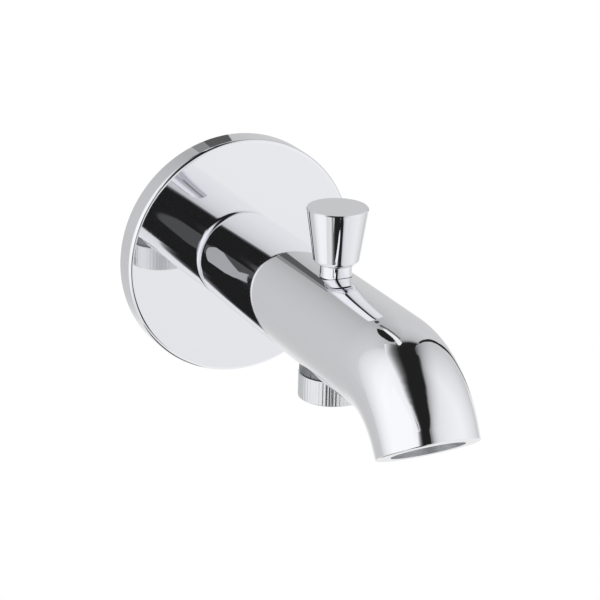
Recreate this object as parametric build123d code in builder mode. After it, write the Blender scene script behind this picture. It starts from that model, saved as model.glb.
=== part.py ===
"""Bath spout with a round wall rose and a pull-up diverter.

Millimetres, +Z up. The wall is the plane Y = 0 and the spout reaches out along -Y.
The origin is the centre of the rose's back. Threads are plain cylinders at their largest radius.
"""
import os
from math import cos, degrees, radians, sin, sqrt

from build123d import *

# Standard threads
G_HALF_R = 20.955 / 2
M24_R = 24.0 / 2
M10_R = 10.0 / 2
M4_R = 4.0 / 2

# Fits between two pieces, on the radius
THREAD_FIT = 0.04
RUNNING_FIT = 0.05
SEAT_GAP = 0.05

# Wall rose
ROSE_R = 45.0
ROSE_DEPTH = 9.0
ROSE_WALL = 1.6
ROSE_EDGE = 1.5
GASKET_W = 3.0
GASKET_T = 3.0

# Tube, bend and outlet
REAR_R = 17.45
TUBE_R = 18.55
OUTLET_R = 17.8
REAR_ROUND = 2.0
BEND_Y = 130.0
BEND_R = 32.2
BEND_DEG = 59.4
LIP = 4.9
CAST_WALL = 3.6
BULKHEAD = 2.6

# Inlet
SPIGOT_L = 5.0
SPIGOT_WALL = 3.3
ROSE_HOLE_GAP = 0.3
SEAL_D = 2.0
INLET_THREAD_L = 15.0
NIPPLE_WALL_L = 18.0
HEX_KEY = 12.0
KEY_SHOULDER = 0.25
HEX_DEPTH = 10.0
THREAD_RELIEF = 1.0
THREAD_LEAD = 1.0
INLET_SEAL_T = 2.0
INLET_SEAL_W = 2.4

# Diverter valve
KNOB_Y = 87.7
LIFT = 8.0
STEM_R = 2.5
SHOWER_SEAT_Z = -10.0
SEAT_R = 5.5
SEAT_LIP_W = 1.2
SEAT_LIP_H = 0.6
WASHER_R = 7.6
WASHER_T = 1.8
DISC_T = 2.0
COLLAR_R = 4.8
COLLAR_T = 1.5
NUT_WIDTH = 7.0
NUT_T = 2.2
STEM_TIP = 0.6
WEB = 2.0
PASSAGE_H = 5.3
CHAMBER_GAP = 1.9
UPPER_STEP = 1.0
SEAT_LAND = 0.6
WIRE_R = 0.35
SPRING_TURNS = 6
SPRING_INSET = 0.1

# Guide bush and knob
BUSH_R = 5.6
BUSH_RISE = 3.85
SPOT_GAP = 0.3
SPOT_DEPTH = 1.0
BUSH_SEAL_T = 0.6
STEM_SEAL_D = 1.5
KNOB_GAP = 0.35
KNOB_LOW_R = 7.9
KNOB_TOP_R = 10.9
KNOB_H = 20.1
KNOB_ROUND = 1.8
KNOB_BEVEL = 0.4
KNOB_THREAD_L = 12.0

# Shower connector
BOSS_WALL = 2.4
FLARE_R = 3.0
FLARE_DEG = 50.0
FLARE_SINK = 0.4
HEAD_INSET = 1.45
HEAD_GAP = 0.3
CONNECTOR_SEAL_T = 0.5
HEAD_WALL = 1.67
HEAD_H = 9.05
HEAD_ROUND = 0.7
HEAD_BEVEL = 0.4
HEAD_FLOOR = 3.05
SHOWER_BORE_R = 7.2
SEAT_PLATE = 3.0

# Aerator
RECESS_GAP = 0.7
RECESS_DEPTH = 2.5
AERATOR_DEPTH = 13.0
AERATOR_SEAL_T = 1.6
SHOULDER_W = 1.7
SCREEN_T = 0.4
SCREEN_RISE = 2.0
HOUSING_WALL = 1.8
HOUSING_LEDGE = 1.4
COIN_SLOT_W = 3.0
COIN_SLOT_D = 0.8
JET_R = 0.9
JET_EDGE = 3.2
JET_PITCH = 3.6
OUTER_JET_COUNT = 12
INNER_JET_COUNT = 6

# The flank of the tube is one shallow parabola, level where the bend starts
run_l = BEND_Y - ROSE_DEPTH
run_middle = (BEND_Y + ROSE_DEPTH) / 2


def tube_r(distance):
    """Outer radius of the straight tube at a distance from the wall."""
    share = (BEND_Y - distance) / run_l
    return TUBE_R - (TUBE_R - REAR_R) * share**2


# Outlet: its middle, and the direction back up the bore
turn = radians(BEND_DEG)
outlet_y = -BEND_Y - BEND_R * sin(turn) - LIP * cos(turn)
outlet_z = -BEND_R * (1 - cos(turn)) - LIP * sin(turn)
outlet_axis = Axis((0, outlet_y, outlet_z), (0, cos(turn), sin(turn)))
outlet_plane = Plane((0, outlet_y, outlet_z), x_dir=(1, 0, 0), z_dir=(0, -sin(turn), cos(turn)))

# Diverter: its upright axis, with profiles drawn as radius and height
knob_axis = Axis((0, -KNOB_Y, 0), (0, 0, 1))
knob_plane = Plane.XZ.offset(KNOB_Y)

# Inlet sizes along the tube's axis
spigot_r = G_HALF_R + SPIGOT_WALL
spigot_end = ROSE_DEPTH - SPIGOT_L
nipple_front = ROSE_DEPTH + INLET_THREAD_L
nipple_bore_r = HEX_KEY / 2 - KEY_SHOULDER
inlet_floor = nipple_front + INLET_SEAL_T
inlet_bore_r = G_HALF_R - INLET_SEAL_W
cavity_start = inlet_floor + CAST_WALL

# Heights of the valve, knob down
chamber_r = WASHER_R + CHAMBER_GAP
stack_low = SHOWER_SEAT_Z + SEAT_GAP
disc_low = stack_low + WASHER_T
disc_top = disc_low + DISC_T
stack_top = disc_top + WASHER_T
collar_top = stack_top + COLLAR_T
bath_seat_z = stack_top + LIFT + SEAT_GAP
upper_floor = bath_seat_z + WEB
upper_top = upper_floor + PASSAGE_H
upper_r = chamber_r - UPPER_STEP

# The waterway ahead of the chamber
bulkhead_y = KNOB_Y + chamber_r + BULKHEAD
back_wall_y = KNOB_Y - chamber_r - BULKHEAD
inlet_hole_r = (bath_seat_z - SHOWER_SEAT_Z) / 2 - SEAT_LAND
inlet_hole_z = (bath_seat_z + SHOWER_SEAT_Z) / 2
throat_r = M24_R - SHOULDER_W
throat_deg = BEND_DEG - degrees((AERATOR_DEPTH - LIP) / BEND_R)

# Top and bottom of the tube at the diverter
crown = tube_r(KNOB_Y)
spot_z = crown - SPOT_DEPTH
bush_top = crown + BUSH_RISE
bush_collar_z = spot_z + BUSH_SEAL_T
knob_z = bush_top + KNOB_GAP
boss_end = -crown + HEAD_INSET
boss_r = chamber_r + BOSS_WALL
head_r = G_HALF_R + HEAD_WALL
head_top = boss_end - CONNECTOR_SEAL_T
head_end = head_top - HEAD_H
socket_top = head_top - HEAD_FLOOR

# The boss flares out towards the tube's flank, and the flare ends just inside it
flare_turn = radians(FLARE_DEG)
flare_end_r = boss_r + FLARE_R * (1 - cos(flare_turn))
flare_end_z = FLARE_SINK - sqrt(crown**2 - flare_end_r**2)
flare_z = flare_end_z - FLARE_R * sin(flare_turn)

# Levels of the aerator, measured up the bore from the outlet's face
recess_r = M24_R + RECESS_GAP
shelf = AERATOR_DEPTH - AERATOR_SEAL_T
housing_top = shelf - SCREEN_T
housing_low = RECESS_DEPTH
ledge_top = housing_low + HOUSING_LEDGE
housing_r = M24_R - THREAD_FIT
insert_r = housing_r - HOUSING_WALL
outer_jets_r = insert_r - JET_EDGE
inner_jets_r = outer_jets_r - JET_PITCH

# Body: one casting with the tube, the bend, the shower boss and all waterways
with BuildPart() as spout_body:
    with BuildSketch(Plane.YZ) as run_profile:
        with BuildLine():
            Polyline((-BEND_Y, TUBE_R), (-BEND_Y, 0), (-ROSE_DEPTH, 0), (-ROSE_DEPTH, REAR_R))
            Bezier((-BEND_Y, TUBE_R), (-run_middle, TUBE_R), (-ROSE_DEPTH, REAR_R))
        make_face()
        rear_corner = run_profile.vertices().group_by(Axis.X)[-1].sort_by(Axis.Y)[-1]
        fillet(rear_corner, REAR_ROUND)
    revolve(axis=Axis.Y)
    # Bend, narrowing a little towards the outlet
    with BuildLine(Plane.YZ) as bend_line:
        bend_arc = JernArc((-BEND_Y, 0), (-1, 0), BEND_R, BEND_DEG)
        Line(bend_arc @ 1, bend_arc @ 1 + LIP * (bend_arc % 1))
    bend_path = bend_line.wire()
    for share in (0, 0.35, 0.7, 1):
        with BuildSketch(Plane(bend_path @ share, x_dir=(1, 0, 0), z_dir=bend_path % share)):
            Circle(TUBE_R - (TUBE_R - OUTLET_R) * share**2)
    sweep(path=bend_path, multisection=True)
    # Shower boss below, and a flat let into the tube round it for the connector's head
    with BuildSketch(knob_plane):
        with BuildLine():
            flare = JernArc((boss_r, flare_z), (0, 1), FLARE_R, -FLARE_DEG)
            Polyline(flare @ 1, (boss_r + FLARE_R, 0), (0, 0), (0, boss_end), (boss_r, boss_end), flare @ 0)
        make_face()
    revolve(axis=knob_axis)
    with BuildSketch(Plane.XY.offset(head_end)):
        with Locations((0, -KNOB_Y)):
            Circle(head_r + HEAD_GAP)
    extrude(amount=boss_end - head_end, mode=Mode.SUBTRACT)
    # Spigot behind
    with BuildSketch(Plane.XZ.offset(spigot_end)):
        Circle(spigot_r)
    extrude(amount=SPIGOT_L)
    # Inlet thread, floor of its seal and the rear cavity
    with BuildSketch(Plane.XZ.offset(spigot_end)):
        Circle(G_HALF_R + THREAD_FIT)
    extrude(amount=inlet_floor - spigot_end, mode=Mode.SUBTRACT)
    with BuildSketch(Plane.XZ.offset(inlet_floor)):
        Circle(inlet_bore_r)
    extrude(amount=CAST_WALL, mode=Mode.SUBTRACT)
    with BuildSketch(Plane.YZ):
        with BuildLine():
            Polyline(
                (-cavity_start, 0),
                (-cavity_start, tube_r(cavity_start) - CAST_WALL),
                (-back_wall_y, tube_r(back_wall_y) - CAST_WALL),
                (-back_wall_y, 0),
                close=True,
            )
        make_face()
    revolve(axis=Axis.Y, mode=Mode.SUBTRACT)
    with BuildSketch(Plane.XZ.offset(back_wall_y)):
        with Locations((0, inlet_hole_z)):
            Circle(inlet_hole_r)
    extrude(amount=KNOB_Y - back_wall_y, mode=Mode.SUBTRACT)
    # Valve chamber, bath seat, upper chamber and bush hole, all on the knob's axis
    with BuildSketch(knob_plane):
        with BuildLine():
            Polyline(
                (0, boss_end),
                (chamber_r, boss_end),
                (chamber_r, bath_seat_z),
                (SEAT_R, bath_seat_z),
                (SEAT_R, upper_floor),
                (upper_r, upper_floor),
                (upper_r, upper_top),
                (M10_R + THREAD_FIT, upper_top),
                (M10_R + THREAD_FIT, spot_z),
                (BUSH_R + SPOT_GAP, spot_z),
                (BUSH_R + SPOT_GAP, bush_top),
                (0, bush_top),
                close=True,
            )
        make_face()
    revolve(axis=knob_axis, mode=Mode.SUBTRACT)
    # Passage over the bulkhead, then the waterway to the outlet
    with BuildSketch(knob_plane):
        with Locations((0, (upper_floor + upper_top) / 2)):
            Rectangle(2 * SEAT_R, PASSAGE_H)
    extrude(amount=bulkhead_y + BULKHEAD - KNOB_Y, mode=Mode.SUBTRACT)
    with BuildLine(Plane.YZ) as water_line:
        Line((-bulkhead_y, 0), (-BEND_Y, 0))
        JernArc((-BEND_Y, 0), (-1, 0), BEND_R, throat_deg)
    water_path = water_line.wire()
    bend_share = (BEND_Y - bulkhead_y) / water_path.length
    water_sections = ((0, TUBE_R - CAST_WALL), (bend_share, TUBE_R - CAST_WALL), (1, throat_r))
    for share, radius in water_sections:
        with BuildSketch(Plane(water_path @ share, x_dir=(1, 0, 0), z_dir=water_path % share)):
            Circle(radius)
    sweep(path=water_path, multisection=True, mode=Mode.SUBTRACT)
    # Outlet: visible recess, aerator thread and shoulder
    with BuildSketch(outlet_plane):
        with BuildLine():
            Polyline(
                (0, 0),
                (recess_r, 0),
                (recess_r, RECESS_DEPTH),
                (M24_R, RECESS_DEPTH),
                (M24_R, AERATOR_DEPTH),
                (throat_r, AERATOR_DEPTH),
                (throat_r, AERATOR_DEPTH + CAST_WALL),
                (0, AERATOR_DEPTH + CAST_WALL),
                close=True,
            )
        make_face()
    revolve(axis=outlet_axis, mode=Mode.SUBTRACT)

# Rose: a pressed cup, open towards the wall
rose_hole_r = spigot_r + ROSE_HOLE_GAP
with BuildPart() as wall_rose:
    with BuildSketch(Plane.YZ) as rose_profile:
        with BuildLine():
            Polyline(
                (0, ROSE_R),
                (-ROSE_DEPTH, ROSE_R),
                (-ROSE_DEPTH, rose_hole_r),
                (-ROSE_DEPTH + ROSE_WALL, rose_hole_r),
                (-ROSE_DEPTH + ROSE_WALL, ROSE_R - ROSE_WALL),
                (0, ROSE_R - ROSE_WALL),
                close=True,
            )
        make_face()
        front_corner = rose_profile.vertices().group_by(Axis.X)[0].sort_by(Axis.Y)[-1]
        fillet(front_corner, ROSE_EDGE)
    revolve(axis=Axis.Y)

# Gasket in the rim, level with the wall
with BuildPart() as rose_gasket:
    with BuildSketch(Plane.XZ):
        Circle(ROSE_R - ROSE_WALL)
        Circle(ROSE_R - ROSE_WALL - GASKET_W, mode=Mode.SUBTRACT)
    extrude(amount=GASKET_T)

# O-ring on the spigot, behind the rose's plate
with BuildPart() as rose_seal:
    with BuildSketch(Plane.YZ):
        with Locations((-ROSE_DEPTH + ROSE_WALL + SEAL_D / 2, spigot_r + SEAL_D / 2)):
            Circle(SEAL_D / 2)
    revolve(axis=Axis.Y)

# Nipple: G1/2 outside at both ends, key socket in front
with BuildPart() as inlet_nipple:
    with BuildSketch(Plane.XZ.offset(-NIPPLE_WALL_L)):
        Circle(G_HALF_R)
        Circle(nipple_bore_r, mode=Mode.SUBTRACT)
    extrude(amount=NIPPLE_WALL_L + nipple_front)
    with BuildSketch(Plane.XZ.offset(nipple_front - HEX_DEPTH)):
        RegularPolygon(HEX_KEY / 2, 6, major_radius=False)
    extrude(amount=HEX_DEPTH, mode=Mode.SUBTRACT)
    # Plain neck between the two threads
    with BuildSketch(Plane.XZ):
        Circle(G_HALF_R)
        Circle(G_HALF_R - THREAD_RELIEF, mode=Mode.SUBTRACT)
    extrude(amount=spigot_end, mode=Mode.SUBTRACT)
    rings = inlet_nipple.edges().filter_by(GeomType.CIRCLE)
    crests = rings.group_by(SortBy.RADIUS)[-1].sort_by(Axis.Y)
    chamfer([crests[0], crests[-1]], THREAD_LEAD)

# Flat ring at the bottom of the inlet thread
with BuildPart() as inlet_seal:
    with BuildSketch(Plane.XZ.offset(nipple_front)):
        Circle(G_HALF_R - THREAD_FIT)
        Circle(inlet_bore_r, mode=Mode.SUBTRACT)
    extrude(amount=INLET_SEAL_T)

# Bush that guides the stem
groove_z = (bush_collar_z + bush_top) / 2
groove_r = STEM_R + RUNNING_FIT + STEM_SEAL_D
with BuildPart() as guide_bush:
    with BuildSketch(knob_plane):
        with BuildLine():
            Polyline(
                (STEM_R + RUNNING_FIT, upper_top),
                (M10_R, upper_top),
                (M10_R, bush_collar_z),
                (BUSH_R, bush_collar_z),
                (BUSH_R, bush_top),
                (STEM_R + RUNNING_FIT, bush_top),
                (STEM_R + RUNNING_FIT, groove_z + STEM_SEAL_D / 2),
                (groove_r, groove_z + STEM_SEAL_D / 2),
                (groove_r, groove_z - STEM_SEAL_D / 2),
                (STEM_R + RUNNING_FIT, groove_z - STEM_SEAL_D / 2),
                close=True,
            )
        make_face()
    revolve(axis=knob_axis)

with BuildPart() as bush_seal:
    with BuildSketch(Plane.XY.offset(spot_z)):
        with Locations((0, -KNOB_Y)):
            Circle(BUSH_R)
            Circle(M10_R + THREAD_FIT, mode=Mode.SUBTRACT)
    extrude(amount=BUSH_SEAL_T)

with BuildPart() as stem_seal:
    with BuildSketch(knob_plane):
        with Locations((groove_r - STEM_SEAL_D / 2, groove_z)):
            Circle(STEM_SEAL_D / 2)
    revolve(axis=knob_axis)

# Stem: shank, collar above the washers and threaded lower end
stem_low = stack_low - NUT_T - STEM_TIP
with BuildPart() as diverter_stem:
    with BuildSketch(knob_plane):
        with BuildLine():
            Polyline(
                (0, stem_low),
                (M4_R, stem_low),
                (M4_R, stack_top),
                (COLLAR_R, stack_top),
                (COLLAR_R, collar_top),
                (STEM_R, collar_top),
                (STEM_R, knob_z + KNOB_THREAD_L),
                (0, knob_z + KNOB_THREAD_L),
                close=True,
            )
        make_face()
    revolve(axis=knob_axis)

# Knob: an inverted cone with a blind hole for the stem
with BuildPart() as diverter_knob:
    with BuildSketch(knob_plane) as knob_profile:
        with BuildLine():
            Polyline(
                (STEM_R + THREAD_FIT, knob_z),
                (KNOB_LOW_R, knob_z),
                (KNOB_TOP_R, knob_z + KNOB_H),
                (0, knob_z + KNOB_H),
                (0, knob_z + KNOB_THREAD_L),
                (STEM_R + THREAD_FIT, knob_z + KNOB_THREAD_L),
                close=True,
            )
        make_face()
        knob_corners = knob_profile.vertices().sort_by(Axis.X)
        fillet(knob_corners[-2], KNOB_ROUND)
        chamfer(knob_profile.vertices().sort_by(Axis.X)[-1], KNOB_BEVEL)
    revolve(axis=knob_axis)

# Valve stack on the stem, from the bottom up
with BuildPart() as shower_washer:
    with BuildSketch(Plane.XY.offset(stack_low)):
        with Locations((0, -KNOB_Y)):
            Circle(WASHER_R)
            Circle(M4_R + THREAD_FIT, mode=Mode.SUBTRACT)
    extrude(amount=WASHER_T)

with BuildPart() as valve_disc:
    with BuildSketch(Plane.XY.offset(disc_low)):
        with Locations((0, -KNOB_Y)):
            Circle(WASHER_R)
            Circle(M4_R + THREAD_FIT, mode=Mode.SUBTRACT)
    extrude(amount=DISC_T)

with BuildPart() as bath_washer:
    with BuildSketch(Plane.XY.offset(disc_top)):
        with Locations((0, -KNOB_Y)):
            Circle(WASHER_R)
            Circle(M4_R + THREAD_FIT, mode=Mode.SUBTRACT)
    extrude(amount=WASHER_T)

with BuildPart() as stem_nut:
    with BuildSketch(Plane.XY.offset(stack_low - NUT_T)):
        with Locations((0, -KNOB_Y)):
            RegularPolygon(NUT_WIDTH / 2, 6, major_radius=False)
            Circle(M4_R + THREAD_FIT, mode=Mode.SUBTRACT)
    extrude(amount=NUT_T)

# Spring between the stem's collar and the bush
spring_r = COLLAR_R - SPRING_INSET - WIRE_R
spring_l = upper_top - collar_top - 2 * WIRE_R
with BuildPart() as diverter_spring:
    with BuildLine() as coil:
        Helix(spring_l / SPRING_TURNS, spring_l, spring_r, center=(0, -KNOB_Y, collar_top + WIRE_R))
    with BuildSketch(Plane(coil.line @ 0, z_dir=coil.line % 0)):
        Circle(WIRE_R)
    sweep(path=coil.line, is_frenet=True)

# Connector: threaded plug with the shower seat on top and the hose socket in its head
plug_top = SHOWER_SEAT_Z - SEAT_LIP_H
with BuildPart() as shower_connector:
    with BuildSketch(knob_plane) as connector_profile:
        with BuildLine():
            Polyline(
                (SEAT_R, SHOWER_SEAT_Z),
                (SEAT_R + SEAT_LIP_W, SHOWER_SEAT_Z),
                (SEAT_R + SEAT_LIP_W, plug_top),
                (chamber_r - THREAD_FIT, plug_top),
                (chamber_r - THREAD_FIT, head_top),
                (head_r, head_top),
                (head_r, head_end),
                (G_HALF_R, head_end),
                (G_HALF_R, socket_top),
                (SHOWER_BORE_R, socket_top),
                (SHOWER_BORE_R, SHOWER_SEAT_Z - SEAT_PLATE),
                (SEAT_R, SHOWER_SEAT_Z - SEAT_PLATE),
                close=True,
            )
        make_face()
        rim = connector_profile.vertices().group_by(Axis.X)[-1].sort_by(Axis.Y)
        fillet(rim[0], HEAD_ROUND)
        rim = connector_profile.vertices().group_by(Axis.X)[-1].sort_by(Axis.Y)
        chamfer(rim[-1], HEAD_BEVEL)
    revolve(axis=knob_axis)

with BuildPart() as connector_seal:
    with BuildSketch(Plane.XY.offset(head_top)):
        with Locations((0, -KNOB_Y)):
            Circle(boss_r - HEAD_BEVEL)
            Circle(chamber_r, mode=Mode.SUBTRACT)
    extrude(amount=CONNECTOR_SEAL_T)

# Aerator: threaded ring with a ledge and coin slots
with BuildPart() as aerator_housing:
    with BuildSketch(outlet_plane):
        with BuildLine():
            Polyline(
                (insert_r - HOUSING_LEDGE, housing_low),
                (housing_r, housing_low),
                (housing_r, housing_top),
                (insert_r, housing_top),
                (insert_r, ledge_top),
                (insert_r - HOUSING_LEDGE, ledge_top),
                close=True,
            )
        make_face()
    revolve(axis=outlet_axis)
    with BuildSketch(outlet_plane):
        with Locations((0, housing_low)):
            Rectangle(2 * M24_R, 2 * COIN_SLOT_D)
    extrude(amount=COIN_SLOT_W / 2, both=True, mode=Mode.SUBTRACT)

# Jet former held on the ledge
ledge_centre = outlet_plane.from_local_coords((0, ledge_top, 0))
insert_face = Plane(ledge_centre, x_dir=(1, 0, 0), z_dir=outlet_axis.direction)
with BuildPart() as aerator_insert:
    with BuildSketch(insert_face):
        Circle(insert_r)
        with PolarLocations(outer_jets_r, OUTER_JET_COUNT):
            Circle(JET_R, mode=Mode.SUBTRACT)
        with PolarLocations(inner_jets_r, INNER_JET_COUNT):
            Circle(JET_R, mode=Mode.SUBTRACT)
    extrude(amount=housing_top - ledge_top)

# Strainer: thin dome with a flat rim
with BuildPart() as aerator_screen:
    with BuildSketch(outlet_plane):
        with BuildLine():
            Polyline(
                (0, housing_top + SCREEN_RISE),
                (throat_r - SHOULDER_W, housing_top),
                (housing_r, housing_top),
                (housing_r, shelf),
                (throat_r - SHOULDER_W, shelf),
                (0, shelf + SCREEN_RISE),
                close=True,
            )
        make_face()
    revolve(axis=outlet_axis)

with BuildPart() as aerator_seal:
    with BuildSketch(outlet_plane):
        with Locations(((throat_r + housing_r) / 2, (shelf + AERATOR_DEPTH) / 2)):
            Rectangle(housing_r - throat_r, AERATOR_SEAL_T)
    revolve(axis=outlet_axis)

# Export, one file a piece
pieces = {
    "spout_body": spout_body,
    "wall_rose": wall_rose,
    "rose_gasket": rose_gasket,
    "rose_seal": rose_seal,
    "inlet_nipple": inlet_nipple,
    "inlet_seal": inlet_seal,
    "guide_bush": guide_bush,
    "bush_seal": bush_seal,
    "stem_seal": stem_seal,
    "diverter_stem": diverter_stem,
    "diverter_knob": diverter_knob,
    "shower_washer": shower_washer,
    "valve_disc": valve_disc,
    "bath_washer": bath_washer,
    "stem_nut": stem_nut,
    "diverter_spring": diverter_spring,
    "shower_connector": shower_connector,
    "connector_seal": connector_seal,
    "aerator_housing": aerator_housing,
    "aerator_insert": aerator_insert,
    "aerator_screen": aerator_screen,
    "aerator_seal": aerator_seal,
}
os.makedirs("parts", exist_ok=True)
for label, piece in pieces.items():
    piece.part.label = label
    export_step(piece.part, f"parts/{label}.step")
    print(label, round(piece.part.volume / 1000, 2), "cm3")
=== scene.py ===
# %% [markdown]
# # A chrome bath spout with a pull-up diverter
# The spout hangs on a wall: a round rose, a straight tube that bends down to the outlet, a small cone
# knob on top and a knurled shower connection below. The solids come in as a fixed frame, and every
# visible piece is modelled again here with smooth rings, because polished metal shows each facet.

# %% Load the frame and keep its box
import math

import bmesh
import bpy
from mathutils import Matrix, Vector


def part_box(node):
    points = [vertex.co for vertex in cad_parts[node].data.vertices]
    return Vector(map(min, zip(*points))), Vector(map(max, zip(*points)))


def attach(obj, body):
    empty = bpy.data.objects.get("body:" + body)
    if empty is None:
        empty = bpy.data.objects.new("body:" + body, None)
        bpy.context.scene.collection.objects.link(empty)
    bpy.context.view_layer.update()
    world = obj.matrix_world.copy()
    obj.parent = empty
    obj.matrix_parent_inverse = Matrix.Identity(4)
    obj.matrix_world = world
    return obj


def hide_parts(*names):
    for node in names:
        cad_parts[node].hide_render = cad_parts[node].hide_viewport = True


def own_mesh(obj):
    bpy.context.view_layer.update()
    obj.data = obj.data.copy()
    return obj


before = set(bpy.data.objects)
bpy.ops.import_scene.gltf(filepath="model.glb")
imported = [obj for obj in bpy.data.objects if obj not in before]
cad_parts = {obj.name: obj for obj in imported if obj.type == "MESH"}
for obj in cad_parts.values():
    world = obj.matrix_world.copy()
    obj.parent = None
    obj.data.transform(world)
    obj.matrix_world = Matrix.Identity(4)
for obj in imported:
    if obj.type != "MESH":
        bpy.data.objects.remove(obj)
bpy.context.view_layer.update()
MM = 0.001

# %% [markdown]
# ## Camera
# The photograph is taken from the left, a little above, with a long lens. Distance and lens together set
# how strongly the rose shrinks against the outlet, so both come from the picture and not from a default
# view. A constraint could aim the camera, but a fixed place, aim and roll hold the angle exactly.

# %% Camera
CAMERA_AT = Vector((-0.4285, -0.9512, 0.3493))
CAMERA_AIM = Vector((-0.00466, -0.06936, 0.00336))
CAMERA_ROLL = math.radians(1.438)
CAMERA_LENS = 176.4

scene = bpy.context.scene
camera = bpy.data.objects.new("camera", bpy.data.cameras.new("camera"))
scene.collection.objects.link(camera)
camera.data.lens = CAMERA_LENS
camera.location = CAMERA_AT
look = (CAMERA_AIM - CAMERA_AT).to_track_quat("-Z", "Y").to_matrix()
camera.rotation_euler = (look @ Matrix.Rotation(CAMERA_ROLL, 3, "Z")).to_euler()
camera.data.clip_start = 0.01
camera.data.clip_end = 50
scene.camera = camera
print("camera", round((CAMERA_AIM - CAMERA_AT).length, 3), "m away")

# %% [markdown]
# ## Drawing tools
# Most pieces of a fitting are turned on a lathe. A cylinder could be inset and extruded ring by ring, but
# every corner would need its own steps. The way chosen is nearer to the lathe: draw half of the section
# as a chain of vertices, round its corners with a vertex bevel, and spin the chain about the axis. Its
# even rings also reflect cleanly.

# %% Select by place, draw a section, spin it
TURN_STEPS = 256
ROUND_STEPS = 6
MERGE = 1e-7


def mode(name):
    """Switches the active object between EDIT and OBJECT mode."""
    bpy.ops.object.mode_set(mode=name)


def pick_all():
    bpy.ops.mesh.select_all(action="SELECT")


def pick(test):
    """Selects, in edit mode, the vertices whose place passes the test, and nothing else."""
    bpy.ops.mesh.select_mode(type="VERT")
    bpy.ops.mesh.select_all(action="DESELECT")
    mesh = bmesh.from_edit_mesh(bpy.context.object.data)
    for vertex in mesh.verts:
        vertex.select = test(vertex.co)
    mesh.select_flush(True)
    bmesh.update_edit_mesh(bpy.context.object.data)
    return sum(vertex.select for vertex in mesh.verts)


def named(name):
    """The object that was just added, with its name."""
    made = bpy.context.object
    made.name = name
    made.data.name = name
    return made


def chain(name, places):
    """A new object in edit mode: a small plane merged to one vertex, then extruded from place to place."""
    bpy.ops.object.select_all(action="DESELECT")
    bpy.ops.mesh.primitive_plane_add(size=MM)
    piece = named(name)
    mode("EDIT")
    bpy.ops.mesh.select_mode(type="VERT")
    pick_all()
    bpy.ops.mesh.merge(type="CENTER")
    bpy.ops.transform.translate(value=places[0])
    for here, there in zip(places, places[1:]):
        bpy.ops.mesh.extrude_region_move(TRANSFORM_OT_translate={"value": there - here})
    return piece


def close_up():
    """Merges doubles and turns all faces outwards, in edit mode."""
    pick_all()
    bpy.ops.mesh.remove_doubles(threshold=MERGE)
    bpy.ops.mesh.normals_make_consistent(inside=False)


def turn(name, section, origin, along, out, rounds=(), bevels=(), ring=False, steps=TURN_STEPS):
    """A turned piece. Corners of the section are (radius, height) in mm; rounds and bevels name a corner by
    its number and give its size in mm."""
    origin, along, out = Vector(origin), Vector(along).normalized(), Vector(out).normalized()
    places = [origin + out * (radius * MM) + along * (height * MM) for radius, height in section]
    piece = chain(name, places)
    if ring:
        pick(lambda co: min((co - places[0]).length, (co - places[-1]).length) < MERGE)
        bpy.ops.mesh.edge_face_add()
    corners = [(*corner, ROUND_STEPS) for corner in rounds] + [(*corner, 1) for corner in bevels]
    for corner, size, segments in corners:
        pick(lambda co: (co - places[corner]).length < MERGE)
        bpy.ops.mesh.bevel(offset=size * MM, segments=segments, affect="VERTICES")
    pick_all()
    bpy.ops.mesh.spin(steps=steps, angle=math.tau, center=origin, axis=along)
    close_up()
    mode("OBJECT")
    return piece


# %% Smooth shading with flat faces
def alone(piece):
    """Makes the piece the active object and the only selected one."""
    bpy.ops.object.select_all(action="DESELECT")
    piece.select_set(True)
    bpy.context.view_layer.objects.active = piece


def finish_metal(piece, sharp_deg=30):
    """Smooth shading that keeps flat faces flat: small rounds take the bend in the normals."""
    alone(piece)
    bpy.ops.object.shade_smooth_by_angle(angle=math.radians(sharp_deg))
    even = piece.modifiers.new("even", "WEIGHTED_NORMAL")
    even.keep_sharp = True
    bpy.ops.object.modifier_apply(modifier=even.name)
    size = [round(x / MM, 1) for x in piece.dimensions]
    print(piece.name, len(piece.data.polygons), "faces,", size, "mm")


# %% [markdown]
# ## Places taken from the frame
# The rose's back is the origin and the wall is the plane Y = 0. The knob, the bush, the valve and the
# shower connection share one upright axis, so their sections are all drawn as radius and height about it.
# Where the box of a solid gives a level or a radius it is read from there and not typed again, so that
# each piece stays on its solid.

# %% Axes and levels
ORIGIN = Vector((0, 0, 0))
FORWARD = Vector((0, -1, 0))
UP = Vector((0, 0, 1))
SIDE = Vector((1, 0, 0))
QUARTER = math.pi / 2


def box_mm(node):
    """The two corners of a solid's box, in mm."""
    low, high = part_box(node)
    return low / MM, high / MM


knob_low, knob_high = box_mm("diverter_knob")
KNOB_Y = -(knob_low.y + knob_high.y) / 2
KNOB_AXIS = FORWARD * (KNOB_Y * MM)
print("knob axis", round(KNOB_Y, 2), "mm from the wall")

# %% [markdown]
# ## Wall rose
# The rose covers the hole in the wall: a pressed cup with a flat face, a rounded front edge and an open
# back. It could be a disc with a Solidify modifier, but then inside and outside would share one rounding.
# One closed section, spun once, gives the face, the rim and the inside together, each with its own.

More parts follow.
